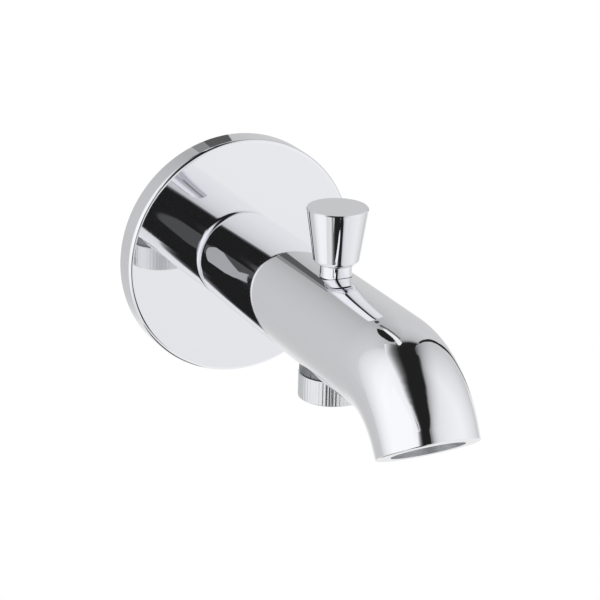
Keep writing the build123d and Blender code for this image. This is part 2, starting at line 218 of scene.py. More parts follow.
# %% Wall rose
rose_low, rose_high = box_mm("wall_rose")
ROSE_R = rose_high.x
ROSE_DEPTH = -rose_low.y
ROSE_WALL = 1.6
ROSE_EDGE = 1.5
ROSE_INNER_EDGE = 0.8
SPIGOT_R = 13.78
ROSE_GAP = 0.3
ROSE_HOLE_R = SPIGOT_R + ROSE_GAP
rose_inner_r = ROSE_R - ROSE_WALL
rose_inner_depth = ROSE_DEPTH - ROSE_WALL
rose_section = (
    (ROSE_R, 0),
    (ROSE_R, ROSE_DEPTH),
    (ROSE_HOLE_R, ROSE_DEPTH),
    (ROSE_HOLE_R, rose_inner_depth),
    (rose_inner_r, rose_inner_depth),
    (rose_inner_r, 0),
)
rose_rounds = ((1, ROSE_EDGE), (4, ROSE_INNER_EDGE))
rose = turn("rose_cup", rose_section, ORIGIN, FORWARD, SIDE, rose_rounds, ring=True)
finish_metal(rose)

# %% [markdown]
# ## Spout body
# One casting: the tube swells a little towards the bend, the bend turns down and narrows to the outlet. A
# curve with a bevel could draw the tube, but its radius changes along the way and chrome shows every
# seam. So the straight run is turned about the tube's axis, and its open end ring is extruded round the
# bend in small steps, turned and scaled at each.

# %% Straight run and bend
body_high = box_mm("spout_body")[1]
TUBE_R = body_high.x
SPIGOT_END = -body_high.y
REAR_R = 17.45
REAR_ROUND = 2.0
OUTLET_R = 17.8
BEND_Y = 130.0
BEND_R = 32.2
BEND_TURN = math.radians(59.4)
LIP = 4.9
FLANK_STEPS = 40
BEND_STEPS = 48
RIM_ROUND = 0.45
RIM_STEPS = 4
TOUCH = 0.01  # mm within which a vertex counts as lying on a face

flank_run = BEND_Y - ROSE_DEPTH


def tube_r(distance):
    """Radius of the straight tube at a distance from the wall: a parabola, level where the bend starts."""
    ahead = (BEND_Y - distance) / flank_run
    return TUBE_R - (TUBE_R - REAR_R) * ahead**2


def round_the_bend(turn_rad, steps, radius_at, start_r):
    """Extrudes the selected end ring round the bend, in edit mode, and returns its last middle."""
    pivot = Vector((0, -BEND_Y, -BEND_R)) * MM
    radius = start_r
    for step in range(1, steps + 1):
        angle = turn_rad * step / steps
        middle = pivot + Vector((0, -math.sin(angle), math.cos(angle))) * (BEND_R * MM)
        grow = radius_at(angle) / radius
        radius = radius_at(angle)
        bpy.ops.mesh.extrude_region_move()
        bpy.ops.transform.rotate(
            value=-turn_rad / steps, orient_axis="X", orient_type="GLOBAL", center_override=pivot
        )
        bpy.ops.transform.resize(value=(grow, grow, grow), center_override=middle)
    return middle


def body_r(angle):
    """Radius of the body at an angle round the bend: it narrows towards the outlet."""
    share = BEND_R * angle / (BEND_R * BEND_TURN + LIP)
    return TUBE_R - (TUBE_R - OUTLET_R) * share**2


OUTLET_UP = Vector((0, math.cos(BEND_TURN), math.sin(BEND_TURN)))
run = [(0, SPIGOT_END), (SPIGOT_R, SPIGOT_END), (SPIGOT_R, ROSE_DEPTH)]
for step in range(FLANK_STEPS + 1):
    distance = ROSE_DEPTH + flank_run * step / FLANK_STEPS
    run.append((tube_r(distance), distance))
body = turn("spout_casting", run, ORIGIN, FORWARD, SIDE, rounds=((3, REAR_ROUND),))
mode("EDIT")
pick(lambda co: co.y < -(BEND_Y - TOUCH) * MM)
bend_end = round_the_bend(BEND_TURN, BEND_STEPS, body_r, TUBE_R)
OUTLET = bend_end - OUTLET_UP * (LIP * MM)
lip_grow = OUTLET_R / body_r(BEND_TURN)
bpy.ops.mesh.extrude_region_move(TRANSFORM_OT_translate={"value": OUTLET - bend_end})
bpy.ops.transform.resize(value=(lip_grow, lip_grow, lip_grow), center_override=OUTLET)
bpy.ops.mesh.edge_face_add()
pick(lambda co: abs((co - OUTLET).dot(OUTLET_UP)) < TOUCH * MM)
bpy.ops.mesh.bevel(offset=RIM_ROUND * MM, segments=RIM_STEPS, affect="EDGES")
close_up()
mode("OBJECT")
print("outlet middle", [round(x / MM, 2) for x in OUTLET])

# %% [markdown]
# ## Boss and waterways of the body
# The casting also carries a flared boss with a flat face for the shower connection and is hollow: inlet,
# supply chamber, valve chamber, passage and waterway. The hollows meet inside the casting, where faces
# made by hand would cross. So each hollow is modelled as a plug and taken out with an exact Boolean, and
# the boss is joined on in the same way.

# %% Sizes inside the casting
CAST_WALL = 3.6
BULKHEAD = 2.6
INLET_R = 10.52
INLET_FLOOR = 26.0
INLET_BORE_R = 8.08
CHAMBER_R = 9.5
UPPER_R = 8.5
SEAT_R = 5.5
BATH_SEAT_Z = 3.7
SHOWER_SEAT_Z = -10.0
HOLE_EDGE = 0.6
UPPER_FLOOR = 5.7
UPPER_TOP = 11.0
BUSH_THREAD_R = 5.04
SPOT_R = 5.9
BOSS_R = 11.9
FLARE_R = 3.0
FLARE_TURN = math.radians(50)
FLARE_SINK = 0.4
FLARE_STEPS = 10
FLAT_R = 12.4475
RECESS_R = 12.7
RECESS_DEPTH = 2.5
AERATOR_R = 12.0
AERATOR_DEPTH = 13.0
THROAT_R = 10.3
PAST = 1.0
boss_end = box_mm("connector_seal")[1].z
spot_z = box_mm("bush_seal")[0].z
cavity_start = INLET_FLOOR + CAST_WALL
cavity_end = KNOB_Y - CHAMBER_R - BULKHEAD
bulkhead_y = KNOB_Y + CHAMBER_R + BULKHEAD
inlet_hole_z = (BATH_SEAT_Z + SHOWER_SEAT_Z) / 2
inlet_hole_r = (BATH_SEAT_Z - SHOWER_SEAT_Z) / 2 - HOLE_EDGE
print("supply chamber", round(cavity_end - cavity_start, 1), "mm long")

# %% Cut or join with a Boolean
def cut(piece, tool, operation="DIFFERENCE"):
    """Takes the tool's shape out of the piece, or joins it on, and removes the tool."""
    alone(piece)
    blade = piece.modifiers.new("blade", "BOOLEAN")
    blade.operation = operation
    blade.solver = "EXACT"
    blade.object = tool
    bpy.ops.object.modifier_apply(modifier=blade.name)
    bpy.data.objects.remove(tool)


# %% Boss with its flat face
flare_end_r = BOSS_R + FLARE_R * (1 - math.cos(FLARE_TURN))
flare_end_z = FLARE_SINK - math.sqrt(tube_r(KNOB_Y) ** 2 - flare_end_r**2)
flare_z = flare_end_z - FLARE_R * math.sin(FLARE_TURN)
boss_section = [(0, boss_end - PAST), (BOSS_R, boss_end - PAST)]
for step in range(FLARE_STEPS + 1):
    angle = FLARE_TURN * step / FLARE_STEPS
    flare_r = BOSS_R + FLARE_R * (1 - math.cos(angle))
    boss_section.append((flare_r, flare_z + FLARE_R * math.sin(angle)))
boss_section += [(BOSS_R + FLARE_R, 0), (0, 0)]
cut(body, turn("boss", boss_section, KNOB_AXIS, UP, SIDE), "UNION")
flat_section = ((0, -TUBE_R - PAST), (FLAT_R, -TUBE_R - PAST), (FLAT_R, boss_end), (0, boss_end))
cut(body, turn("flat_plug", flat_section, KNOB_AXIS, UP, SIDE))
print("boss from", round(flare_end_z, 2), "down to", round(boss_end, 2), "mm")

# %% Inlet, supply hole and valve chamber
HIDDEN_STEPS = 96
HOLE_STEPS = 64
SMALL_STEPS = 128
inlet_section = (
    (0, SPIGOT_END - PAST),
    (INLET_R, SPIGOT_END - PAST),
    (INLET_R, INLET_FLOOR),
    (INLET_BORE_R, INLET_FLOOR),
    (INLET_BORE_R, cavity_start),
    (tube_r(cavity_start) - CAST_WALL, cavity_start),
    (tube_r(cavity_end) - CAST_WALL, cavity_end),
    (0, cavity_end),
)
cut(body, turn("inlet_plug", inlet_section, ORIGIN, FORWARD, SIDE, steps=HIDDEN_STEPS))
hole_start = cavity_end - PAST
hole_section = ((0, hole_start), (inlet_hole_r, hole_start), (inlet_hole_r, KNOB_Y), (0, KNOB_Y))
cut(body, turn("hole_plug", hole_section, UP * (inlet_hole_z * MM), FORWARD, SIDE, steps=HOLE_STEPS))
chamber_section = (
    (0, boss_end - PAST),
    (CHAMBER_R, boss_end - PAST),
    (CHAMBER_R, BATH_SEAT_Z),
    (SEAT_R, BATH_SEAT_Z),
    (SEAT_R, UPPER_FLOOR),
    (UPPER_R, UPPER_FLOOR),
    (UPPER_R, UPPER_TOP),
    (BUSH_THREAD_R, UPPER_TOP),
    (BUSH_THREAD_R, spot_z),
    (SPOT_R, spot_z),
    (SPOT_R, TUBE_R + PAST),
    (0, TUBE_R + PAST),
)
cut(body, turn("chamber_plug", chamber_section, KNOB_AXIS, UP, SIDE, steps=SMALL_STEPS))
print("body with inlet and chamber", len(body.data.polygons), "faces")

# %% A bar for straight cuts
def bar(middle, sides_mm, tilt=0.0):
    """A box about a middle, with its sides along X, Y and Z, then tilted about X."""
    bpy.ops.object.select_all(action="DESELECT")
    bpy.ops.mesh.primitive_cube_add(size=1, location=middle, rotation=(tilt, 0, 0))
    made = bpy.context.object
    made.scale = Vector(sides_mm) * MM
    bpy.ops.object.transform_apply()
    return made


# %% Passage, waterway and outlet recess
WATER_STEPS = 24
OUTLET_STEPS = 192
passage_l = bulkhead_y + BULKHEAD - KNOB_Y
passage_middle = Vector((0, -KNOB_Y - passage_l / 2, (UPPER_FLOOR + UPPER_TOP) / 2)) * MM
cut(body, bar(passage_middle, (2 * SEAT_R, passage_l, UPPER_TOP - UPPER_FLOOR)))
water_r = TUBE_R - CAST_WALL
water_turn = BEND_TURN - (AERATOR_DEPTH - LIP) / BEND_R
water_section = ((0, bulkhead_y), (water_r, bulkhead_y), (water_r, BEND_Y))


def waterway_r(angle):
    """Radius of the waterway at an angle round the bend: it narrows evenly to the throat."""
    return water_r + (THROAT_R - water_r) * angle / water_turn


waterway = turn("water_plug", water_section, ORIGIN, FORWARD, SIDE, steps=HIDDEN_STEPS)
mode("EDIT")
pick(lambda co: co.y < -(BEND_Y - TOUCH) * MM)
round_the_bend(water_turn, WATER_STEPS, waterway_r, water_r)
bpy.ops.mesh.edge_face_add()
close_up()
mode("OBJECT")
cut(body, waterway)
outlet_section = (
    (0, -PAST),
    (RECESS_R, -PAST),
    (RECESS_R, RECESS_DEPTH),
    (AERATOR_R, RECESS_DEPTH),
    (AERATOR_R, AERATOR_DEPTH),
    (THROAT_R, AERATOR_DEPTH),
    (THROAT_R, AERATOR_DEPTH + CAST_WALL),
    (0, AERATOR_DEPTH + CAST_WALL),
)
cut(body, turn("outlet_plug", outlet_section, OUTLET, OUTLET_UP, SIDE, steps=OUTLET_STEPS))
finish_metal(body)

# %% [markdown]
# ## Knob and guide bush
# The knob is an inverted cone that two fingers pull up. It is screwed on the valve's stem, which slides
# in a bush; the bush's collar is the short neck between knob and tube. A Bevel modifier could soften
# both, but it rounds all edges alike. In a turned section each corner has its own size, so the knob's
# foot is round and its top edge stays crisp.

# %% Knob
STEM_HOLE_R = 2.54
KNOB_LOW_R = 7.9
KNOB_TOP_R = 10.9
KNOB_ROUND = 1.8
KNOB_BEVEL = 0.4
KNOB_THREAD_L = 12.0
knob_section = (
    (0, knob_low.z + KNOB_THREAD_L),
    (STEM_HOLE_R, knob_low.z + KNOB_THREAD_L),
    (STEM_HOLE_R, knob_low.z),
    (KNOB_LOW_R, knob_low.z),
    (KNOB_TOP_R, knob_high.z),
    (0, knob_high.z),
)
knob_rounds, knob_bevels = ((3, KNOB_ROUND),), ((4, KNOB_BEVEL),)
knob = turn("pull_knob", knob_section, KNOB_AXIS, UP, SIDE, knob_rounds, knob_bevels)
finish_metal(knob)

# %% Guide bush
bush_low, bush_high = box_mm("guide_bush")
BUSH_R = bush_high.x
BUSH_M10_R = 5.0
BUSH_ROUND = 0.3
GROOVE_R = 4.05
collar_z = box_mm("bush_seal")[1].z
groove_low, groove_high = [corner.z for corner in box_mm("stem_seal")]
STEM_BORE_R = 2.55
bush_section = (
    (STEM_BORE_R, bush_low.z),
    (BUSH_M10_R, bush_low.z),
    (BUSH_M10_R, collar_z),
    (BUSH_R, collar_z),
    (BUSH_R, bush_high.z),
    (STEM_BORE_R, bush_high.z),
    (STEM_BORE_R, groove_high),
    (GROOVE_R, groove_high),
    (GROOVE_R, groove_low),
    (STEM_BORE_R, groove_low),
)
bush_rounds = ((4, BUSH_ROUND),)
bush = turn("stem_bush", bush_section, KNOB_AXIS, UP, SIDE, bush_rounds, ring=True, steps=SMALL_STEPS)
finish_metal(bush)

# %% [markdown]
# ## Shower connection
# A turned plug closes the valve chamber from below. Its head is knurled with straight grooves so that wet
# fingers can turn it, and holds the thread for the shower hose. A Boolean for each groove would be slow,
# and a bump would leave the outline smooth. So the head is spun with six columns to each rib, and the
# columns are then drawn in to different depths, which makes all grooves at once.

# %% Knurled head
RIBS = 55
COLUMNS = 6
GROOVE_DEPTHS = {0: 0.10, 1: 0.03, 5: 0.03}
plug_low, plug_high = box_mm("shower_connector")
HEAD_R = plug_high.x
HEAD_ROUND = 0.4
SOCKET_BEVEL = 0.5
SEAT_LIP_R = 6.7
SEAT_LIP_H = 0.6
PLUG_R = 9.46
SOCKET_R = 10.4775
SOCKET_DEPTH = 6.0
SHOWER_BORE_R = 7.2
SEAT_PLATE = 3.0
head_top = box_mm("connector_seal")[0].z
connector_section = (
    (SEAT_R, plug_high.z),
    (SEAT_LIP_R, plug_high.z),
    (SEAT_LIP_R, plug_high.z - SEAT_LIP_H),
    (PLUG_R, plug_high.z - SEAT_LIP_H),
    (PLUG_R, head_top),
    (HEAD_R, head_top),
    (HEAD_R, plug_low.z),
    (SOCKET_R, plug_low.z),
    (SOCKET_R, plug_low.z + SOCKET_DEPTH),
    (SHOWER_BORE_R, plug_low.z + SOCKET_DEPTH),
    (SHOWER_BORE_R, plug_high.z - SEAT_PLATE),
    (SEAT_R, plug_high.z - SEAT_PLATE),
)
head_rounds = ((5, HEAD_ROUND), (6, HEAD_ROUND), (7, SOCKET_BEVEL))
head_steps = RIBS * COLUMNS
connector = turn(
    "shower_plug", connector_section, KNOB_AXIS, UP, SIDE, head_rounds, ring=True, steps=head_steps
)


def rib_column(co):
    """Which of a rib's columns a vertex of the head belongs to."""
    turned = math.atan2(co.y - KNOB_AXIS.y, co.x - KNOB_AXIS.x) / math.tau
    return round(turned * head_steps) % COLUMNS


on_head = (HEAD_R - TOUCH) * MM
mode("EDIT")
for column, depth in GROOVE_DEPTHS.items():
    pick(lambda co: math.hypot(co.x, co.y - KNOB_AXIS.y) > on_head and rib_column(co) == column)
    shrink = 1 - depth / HEAD_R
    bpy.ops.transform.resize(value=(shrink, shrink, 1), center_override=KNOB_AXIS)
mode("OBJECT")
print("knurled head", RIBS, "ribs,", len(connector.data.polygons), "faces")

# %% [markdown]
# ## Inlet nipple
# The nipple carries the spout on the wall's water fitting. Its thread is the pipe thread of a half-inch
# fitting. A bump could suggest it, but the nipple stands free behind the wall and its outline shows. So
# the core is turned at the thread's root and a ridge is wound round it with a Screw modifier.

# %% Nipple core and thread ridge
THREAD_PITCH = 1.814
THREAD_DEPTH = 1.162
THREAD_ROOT = 0.45 * THREAD_PITCH
THREAD_CREST = 0.12 * THREAD_PITCH
THREAD_SINK = 0.1
THREAD_STEPS = 72
nipple_low, nipple_high = box_mm("inlet_nipple")
NIPPLE_R = nipple_high.x
NIPPLE_BORE_R = 5.75
NIPPLE_ROUND = 0.5
HEX_KEY = 12.0
HEX_DEPTH = 10.0
core_r = NIPPLE_R - THREAD_DEPTH
nipple_section = (
    (NIPPLE_BORE_R, -nipple_high.y),
    (core_r, -nipple_high.y),
    (core_r, -nipple_low.y),
    (NIPPLE_BORE_R, -nipple_low.y),
)
nipple_rounds = ((1, NIPPLE_ROUND), (2, NIPPLE_ROUND))
nipple = turn(
    "wall_nipple", nipple_section, ORIGIN, FORWARD, SIDE, nipple_rounds, ring=True, steps=SMALL_STEPS
)
bpy.ops.object.select_all(action="DESELECT")
bpy.ops.mesh.primitive_cylinder_add(
    vertices=6,
    radius=HEX_KEY / math.sqrt(3) * MM,
    depth=HEX_DEPTH * MM,
    location=Vector((0, nipple_low.y + HEX_DEPTH / 2 - TOUCH, 0)) * MM,
    rotation=(QUARTER, 0, 0),
)
cut(nipple, bpy.context.object)


def wind(piece, axis, pitch, turns, steps=THREAD_STEPS):
    """Winds a closed loop about an axis through the origin and closes both ends of the coil."""
    coil = piece.modifiers.new("coil", "SCREW")
    coil.axis = axis
    coil.screw_offset = pitch * MM
    coil.iterations = turns
    coil.steps = coil.render_steps = steps
    coil.use_merge_vertices = True
    bpy.ops.object.modifier_apply(modifier=coil.name)
    mode("EDIT")
    pick_all()
    bpy.ops.mesh.fill_holes(sides=0)
    close_up()
    mode("OBJECT")


def thread_ridge(name, root_r, crest_r, first, turns, axis):
    """A thread's ridge, from the height first up along the axis; radii and height in mm."""
    along = {"Y": -FORWARD, "Z": UP}[axis]
    foot_r = root_r + math.copysign(THREAD_SINK, root_r - crest_r)
    foot = ((foot_r, -THREAD_ROOT), (foot_r, THREAD_ROOT))
    crest = ((crest_r, THREAD_CREST), (crest_r, -THREAD_CREST))
    places = [SIDE * (radius * MM) + along * ((first + step) * MM) for radius, step in foot + crest]
    ridge = chain(name, places)
    pick_all()
    bpy.ops.mesh.edge_face_add()
    bpy.ops.mesh.delete(type="ONLY_FACE")
    mode("OBJECT")
    wind(ridge, axis, THREAD_PITCH, turns)
    return ridge


NIPPLE_TURNS = 8
NIPPLE_START = 0.9
cut(nipple, thread_ridge("wall_thread", core_r, NIPPLE_R, NIPPLE_START, NIPPLE_TURNS, "Y"), "UNION")
finish_metal(nipple)

# %% [markdown]
# The socket in the knurled head has the same thread, turned inside out: the ridge starts at the wall of
# the socket and points inwards. A groove could be cut instead, but it would go past the thread's largest
# radius, where the solid has its wall.

# %% Move a mesh and keep its object
def move_mesh(piece, value):
    """Moves the mesh and leaves the object at the origin."""
    alone(piece)
    mode("EDIT")
    pick_all()
    bpy.ops.transform.translate(value=value)
    mode("OBJECT")


# %% Thread of the shower socket
SOCKET_TURNS = 2
SOCKET_START = 1.4
socket_crest_r = SOCKET_R - THREAD_DEPTH
socket_first = plug_low.z + SOCKET_START
socket_thread = thread_ridge("socket_thread", SOCKET_R, socket_crest_r, socket_first, SOCKET_TURNS, "Z")
move_mesh(socket_thread, KNOB_AXIS)
cut(connector, socket_thread, "UNION")
finish_metal(connector, sharp_deg=40)

# %% [markdown]
# ## Aerator
# A threaded ring sits deep in the outlet and holds the jet former. Two slots across its face take a coin,
# so that it can be unscrewed for cleaning. They could be pushed in face by face, but the faces of the
# ring run to its middle and a slot runs straight. So one bar laid across the ring cuts both slots.

# %% Aerator ring
HOUSING_R = 11.96
INSERT_R = 10.16
LEDGE = 1.4
HOUSING_TOP = 11.0
HOUSING_ROUND = 0.25
COIN_SLOT_W = 3.0
COIN_SLOT_D = 0.8
housing_section = (
    (INSERT_R - LEDGE, RECESS_DEPTH),
    (HOUSING_R, RECESS_DEPTH),
    (HOUSING_R, HOUSING_TOP),
    (INSERT_R, HOUSING_TOP),
    (INSERT_R, RECESS_DEPTH + LEDGE),
    (INSERT_R - LEDGE, RECESS_DEPTH + LEDGE),
)
housing_rounds = ((0, HOUSING_ROUND), (1, HOUSING_ROUND))
housing = turn(
    "aerator_ring", housing_section, OUTLET, OUTLET_UP, SIDE, housing_rounds, ring=True, steps=OUTLET_STEPS
)
ring_face = OUTLET + OUTLET_UP * (RECESS_DEPTH * MM)
cut(housing, bar(ring_face, (2 * AERATOR_R + PAST, COIN_SLOT_W, 2 * COIN_SLOT_D), BEND_TURN - QUARTER))
finish_metal(housing)

# %% [markdown]
# ## Return spring
# A spring between the bush and the valve presses the valve down again, and the knob with it. A curve with
# a bevel could draw it, but a circle of wire wound up the axis is a closed mesh at once, and the tool
# that winds the thread serves again. In use it gets shorter as the knob is pulled up; here it keeps the
# length of its solid.

# %% Spring
WIRE_R = 0.35
WIRE_SIDES = 12
SPRING_TURNS = 6
SPRING_STEPS = 48
spring_low, spring_high = box_mm("diverter_spring")
spring_r = spring_high.x - WIRE_R
spring_pitch = (spring_high.z - spring_low.z - 2 * WIRE_R) / SPRING_TURNS
bpy.ops.object.select_all(action="DESELECT")
bpy.ops.mesh.primitive_circle_add(
    vertices=WIRE_SIDES,
    radius=WIRE_R * MM,
    location=Vector((spring_r, 0, spring_low.z + WIRE_R)) * MM,
    rotation=(QUARTER, 0, 0),
)
spring = named("return_spring")
bpy.ops.object.transform_apply()
wind(spring, "Z", spring_pitch, SPRING_TURNS, SPRING_STEPS)
move_mesh(spring, KNOB_AXIS)
finish_metal(spring, sharp_deg=60)

# %% [markdown]
# ## Effects that several finishes share
# Real metal is never perfectly even: hands and cloths leave cloudy smears, and a lathe leaves fine lines
# round the axis. Each finish could have its own noise, but the same marks would then be built several
# times. Both effects are node groups that put out plain masks, so each finish decides itself what to do
# with them.

# %% A node group, a node and its links
def effect(name, outputs):
    """A new node group that takes a place and a scale; returns its nodes, its links and its two ends."""
    group = bpy.data.node_groups.new(name, "ShaderNodeTree")
    group.interface.new_socket("Vector", in_out="INPUT", socket_type="NodeSocketVector")
    group.interface.new_socket("Scale", in_out="INPUT", socket_type="NodeSocketFloat")
    for output in outputs:
        group.interface.new_socket(output, in_out="OUTPUT", socket_type="NodeSocketFloat")
    ends = group.nodes.new("NodeGroupInput"), group.nodes.new("NodeGroupOutput")
    return group, group.nodes, group.links, *ends


def add(nodes, kind, values=None, **settings):
    """A new shader node: first its settings, then the values of its inputs, by name or by number."""
    made = nodes.new(kind)
    for setting, choice in settings.items():
        setattr(made, setting, choice)
    for socket, value in (values or {}).items():
        made.inputs[socket].default_value = value
    return made


def join(links, *wires):
    """Links between nodes, each given as (node, output, node, input)."""
    for giver, output, taker, entry in wires:
        links.new(giver.outputs[output], taker.inputs[entry])


# %% Smears
GRAIN_PER_CLOUD = 16
smears, nodes, links, place, result = effect("smears", ("Cloud", "Grain"))
cloud = add(nodes, "ShaderNodeTexNoise", {"Detail": 4, "Distortion": 0.6})
finer = add(nodes, "ShaderNodeMath", {1: GRAIN_PER_CLOUD}, operation="MULTIPLY")
grain = add(nodes, "ShaderNodeTexNoise", {"Detail": 2})
join(
    links,
    (place, "Vector", cloud, "Vector"),
    (place, "Scale", cloud, "Scale"),
    (place, "Scale", finer, 0),
    (place, "Vector", grain, "Vector"),
    (finer, "Value", grain, "Scale"),
    (cloud, "Fac", result, "Cloud"),
    (grain, "Fac", result, "Grain"),
)
print("effect", smears.name, len(nodes), "nodes")

# %% Lathe lines
lathe_lines, nodes, links, place, result = effect("lathe_lines", ("Lines",))
parts = nodes.new("ShaderNodeSeparateXYZ")
flat = nodes.new("ShaderNodeCombineXYZ")
radius = add(nodes, "ShaderNodeVectorMath", operation="LENGTH")
along = add(nodes, "ShaderNodeMath", operation="ADD")
lines = add(nodes, "ShaderNodeTexNoise", {"Detail": 3}, noise_dimensions="1D")
join(
    links,
    (place, "Vector", parts, "Vector"),
    (parts, "X", flat, "X"),
    (parts, "Y", flat, "Y"),
    (flat, "Vector", radius, 0),
    (radius, "Value", along, 0),
    (parts, "Z", along, 1),
    (along, "Value", lines, "W"),
    (place, "Scale", lines, "Scale"),
    (lines, "Fac", result, "Lines"),
)
print("effect", lathe_lines.name, len(nodes), "nodes")

# %% [markdown]
# ## Finishes
# One colour and one gloss all over would look painted, so every finish is built the same way: the
# effect's mask mixes two close colours, spreads the roughness over a small range, and a fine height goes
# into a bump. Chrome is nearly a mirror with a faint blue cast, and its spread stays so small that the
# edges in its reflections remain sharp. Brass is turned, so its lines run round the axis of the piece.
# Rubber is dull and grainy, the jet former is moulded plastic, and spring and strainer are steel wire.

# %% A finish from a mask
MASK_LOW = 0.3  # noise stays mostly between these two
MASK_HIGH = 0.7


def material(name):
    """A new material with its nodes and links."""
    made = bpy.data.materials.new(name)
    made.use_nodes = True
    return made, made.node_tree.nodes, made.node_tree.links


def add_effect(nodes, links, group, scale, shift=(0, 0, 0), tilt=(0, 0, 0)):
    """Places an effect on object coordinates, with the piece's axis as the effect's Z."""
    place = nodes.new("ShaderNodeTexCoord")
    centre = add(nodes, "ShaderNodeMapping", {"Location": shift, "Rotation": tilt})
    marks = add(nodes, "ShaderNodeGroup", {"Scale": scale}, node_tree=group)
    join(links, (place, "Object", centre, "Vector"), (centre, "Vector", marks, "Vector"))
    return marks


def map_range(nodes, low, high):
    """A Map Range node between two pairs of (value, result)."""
    names = ("From Min", "To Min", "From Max", "To Max")
    return add(nodes, "ShaderNodeMapRange", dict(zip(names, (*low, *high))))


def finish(name, colours, roughness, bump, metallic, mask, height, **marks):
    """A finish: the effect's mask sets colour and roughness, its height the bump (strength, mm)."""
    made, nodes, links = material(name)
    shader = nodes["Principled BSDF"]
    shader.inputs["Metallic"].default_value = metallic
    effect_node = add_effect(nodes, links, **marks)
    first, second = [(*colour, 1) for colour in colours]
    tint = add(nodes, "ShaderNodeMix", {"A": first, "B": second}, data_type="RGBA")
    gloss = map_range(nodes, (MASK_LOW, roughness[0]), (MASK_HIGH, roughness[1]))
    relief = add(nodes, "ShaderNodeBump", {"Strength": bump[0], "Distance": bump[1] * MM})
    join(
        links,
        (effect_node, mask, tint, "Factor"),
        (effect_node, mask, gloss, "Value"),
        (effect_node, height, relief, "Height"),
        (tint, "Result", shader, "Base Color"),
        (gloss, "Result", shader, "Roughness"),
        (relief, "Normal", shader, "Normal"),
    )
    return made


# %% Chrome, brass, rubber, wire and plastic
METAL = {"metallic": 1, "mask": "Cloud", "height": "Grain", "group": smears}
PLAIN = {**METAL, "metallic": 0}
TURNED = {"metallic": 1, "mask": "Lines", "height": "Lines", "group": lathe_lines}

chrome_blue = ((0.865, 0.87, 0.90), (0.855, 0.86, 0.89))
chrome = finish("polished_chrome", chrome_blue, (0.02, 0.04), (0.02, 0.01), scale=60, **METAL)
satin_grey = ((0.78, 0.79, 0.81), (0.74, 0.75, 0.77))
satin_chrome = finish("satin_chrome", satin_grey, (0.18, 0.25), (0.05, 0.01), scale=200, **METAL)
inside_grey = ((0.80, 0.81, 0.83), (0.50, 0.51, 0.53))
dull_chrome = finish("dull_chrome", inside_grey, (0.28, 0.42), (0.2, 0.02), scale=300, **METAL)
# The boss's finish is dark grey: painted shade in the corner above the knurled head, and dull as well.
painted_shade_grey = ((0.27, 0.28, 0.29), (0.18, 0.19, 0.20))
painted_shade_chrome = finish("painted_shade_chrome", painted_shade_grey, (0.25, 0.40), (0.2, 0.02), scale=300, **METAL)
brass_yellow = ((0.80, 0.64, 0.35), (0.72, 0.55, 0.28))
brass_look = (brass_yellow, (0.22, 0.38), (0.25, 0.03))
nipple_brass = finish("nipple_brass", *brass_look, scale=2500, tilt=(QUARTER, 0, 0), **TURNED)
valve_brass = finish("valve_brass", *brass_look, scale=2500, shift=-KNOB_AXIS, **TURNED)
rubber_black = ((0.045, 0.045, 0.046), (0.06, 0.06, 0.06))
rubber = finish("seal_rubber", rubber_black, (0.6, 0.8), (0.4, 0.04), scale=400, **PLAIN)
steel_grey = ((0.64, 0.65, 0.66), (0.55, 0.56, 0.57))
wire = finish("spring_wire", steel_grey, (0.22, 0.36), (0.2, 0.01), scale=900, **METAL)
plastic_white = ((0.81, 0.81, 0.79), (0.76, 0.76, 0.735))
plastic = finish("moulded_plastic", plastic_white, (0.4, 0.52), (0.2, 0.02), scale=250, **PLAIN)
print("finishes from", chrome.name, "to", plastic.name)

# %% [markdown]
# The strainer is woven wire. Its wires could be modelled, but it is hidden behind the jet former, so a
# finish is enough. Two waves at right angles give the weave: the larger of the two is the wire on top,
# and where both are low there is an opening, painted dark grey as painted shade of the hollow behind.

# %% Woven strainer
WEAVE_PITCH = 0.8
WAVE_RADIANS = 20  # a Wave texture of scale 1 runs through this angle in a metre
strainer, nodes, links = material("woven_strainer")
shader = nodes["Principled BSDF"]
shader.inputs["Metallic"].default_value = 1
shader.inputs["Roughness"].default_value = 0.35
place = nodes.new("ShaderNodeTexCoord")
centre = add(nodes, "ShaderNodeMapping", {"Rotation": (QUARTER - BEND_TURN, 0, 0)})
weave = add(nodes, "ShaderNodeMath", operation="MAXIMUM")
wave_scale = math.tau / WAVE_RADIANS / (WEAVE_PITCH * MM)
for number, direction in enumerate(("X", "Y")):
    wires = add(nodes, "ShaderNodeTexWave", {"Scale": wave_scale}, bands_direction=direction)
    join(links, (centre, "Vector", wires, "Vector"), (wires, "Fac", weave, number))
# Openings are painted dark grey, as painted shade; the wires keep their own steel grey.
painted_shade_and_wire = {"A": (0.12, 0.12, 0.13, 1), "B": (0.62, 0.63, 0.64, 1)}
tint = add(nodes, "ShaderNodeMix", painted_shade_and_wire, data_type="RGBA")
relief = add(nodes, "ShaderNodeBump", {"Strength": 0.6, "Distance": 0.15 * MM})
join(
    links,
    (place, "Object", centre, "Vector"),
    (weave, "Value", tint, "Factor"),
    (weave, "Value", relief, "Height"),
    (tint, "Result", shader, "Base Color"),
    (relief, "Normal", shader, "Normal"),
)
print("strainer", WEAVE_PITCH, "mm between wires")

# %% [markdown]
# ## Putting the pieces on the frame
# Each new piece rides on the body that carries its solid and stands for that solid. The remaining solids
# are hidden seals and valve parts whose shape is already right, so they only get their finish.

# %% Bodies, slots and finishes
new_pieces = (
    (rose, "wall_rose", "spout", "chrome", chrome),
    (body, "spout_body", "spout", "chrome", chrome),
    (knob, "diverter_knob", "diverter", "chrome", chrome),
    (bush, "guide_bush", "spout", "chrome", chrome),
    (connector, "shower_connector", "spout", "chrome", satin_chrome),
    (housing, "aerator_housing", "spout", "chrome", dull_chrome),
    (nipple, "inlet_nipple", "spout", "brass", nipple_brass),
    (spring, "diverter_spring", "spout", "spring_steel", wire),
)
for piece, node, carrier, slot, coat in new_pieces:
    piece.data.materials.clear()
    piece.data.materials.append(coat)
    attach(piece, carrier)
    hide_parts(node)

